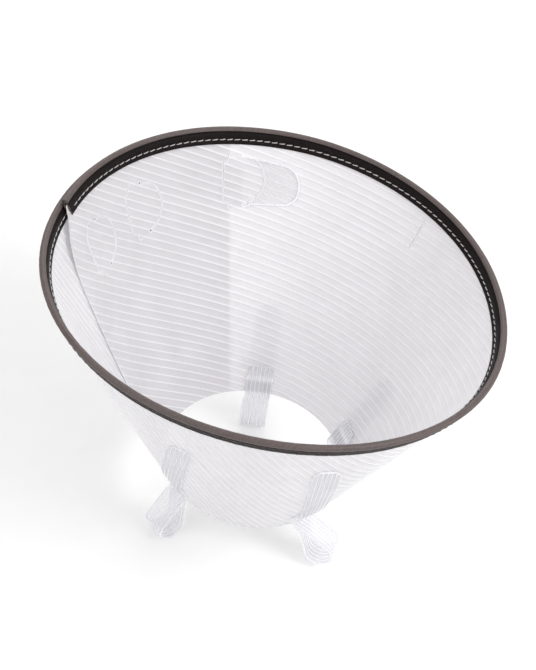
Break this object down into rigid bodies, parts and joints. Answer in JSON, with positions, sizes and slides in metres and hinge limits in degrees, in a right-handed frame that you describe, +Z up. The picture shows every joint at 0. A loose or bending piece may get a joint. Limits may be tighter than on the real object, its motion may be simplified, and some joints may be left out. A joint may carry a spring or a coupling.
{
  "type": "elizabethan collar",
  "caption": "Protective cone for a pet: a rolled ribbed plastic sheet with D-shaped locking cuts, a padded stitched rim and strap loops for the neckband.",
  "frame": {"origin": "centre of the neck opening, in the plane of the neck edge", "axes": "+Z up the axis of the cone, from the neck towards the mouth; +X to the lower side of the rim; -Y to the front, where the two seen neck straps are"},
  "size_m": [0.2699, 0.2646, 0.2065],
  "materials": {
    "ribbed_plastic": "translucent milky sheet with fine straight ribs, semi-gloss",
    "leatherette": "fine grained leatherette, taupe brown outside and near black on the inner face",
    "piping_cord": "plain cord, hidden inside the binding",
    "thread": "white sewing thread",
    "dark_thread": "brown sewing thread, close to the leatherette's colour"
  },
  "bodies": {
    "collar": {"cone_sheet": "ribbed_plastic", "rim_binding": "leatherette", "bead_cord": "piping_cord", "stitch_thread_inner": "thread", "stitch_thread_outer": "dark_thread", "strap_tail_1": "ribbed_plastic", "strap_tail_2": "ribbed_plastic", "strap_tail_3": "ribbed_plastic", "strap_tail_4": "ribbed_plastic"},
    "tongue": {"tongue_tip": "ribbed_plastic"},
    "loop_1": {"neck_loop_1": "ribbed_plastic"},
    "loop_2": {"neck_loop_2": "ribbed_plastic"},
    "loop_3": {"neck_loop_3": "ribbed_plastic"},
    "loop_4": {"neck_loop_4": "ribbed_plastic"}
  },
  "joints": [
    {"name": "loop_1_swing", "type": "hinge", "parent": "collar", "child": "loop_1", "pos_m": [-0.04156, -0.03742, -0.0017], "axis": [-0.6691, 0.7431, 0], "range_deg": [-60, 30], "stiffness_Nm_per_rad": 0.01},
    {"name": "loop_2_swing", "type": "hinge", "parent": "collar", "child": "loop_2", "pos_m": [0.03742, -0.04156, -0.0017], "axis": [-0.1392, -0.9903, 0], "range_deg": [-80, 10], "stiffness_Nm_per_rad": 0.01},
    {"name": "loop_3_swing", "type": "hinge", "parent": "collar", "child": "loop_3", "pos_m": [0.05185, 0.02095, -0.0017], "axis": [0.3746, -0.9272, 0], "range_deg": [-60, 30], "stiffness_Nm_per_rad": 0.01},
    {"name": "loop_4_swing", "type": "hinge", "parent": "collar", "child": "loop_4", "pos_m": [-0.0039, 0.05579, -0.0017], "axis": [0.9976, 0.0698, 0], "range_deg": [-60, 30], "stiffness_Nm_per_rad": 0.01},
    {"name": "tongue_lift", "type": "hinge", "parent": "collar", "child": "tongue", "pos_m": [-0.02615, 0.11326, 0.1304], "axis": [0.08, -0.3467, -0.9346], "range_deg": [0, 35], "stiffness_Nm_per_rad": 0.005}
  ]
}
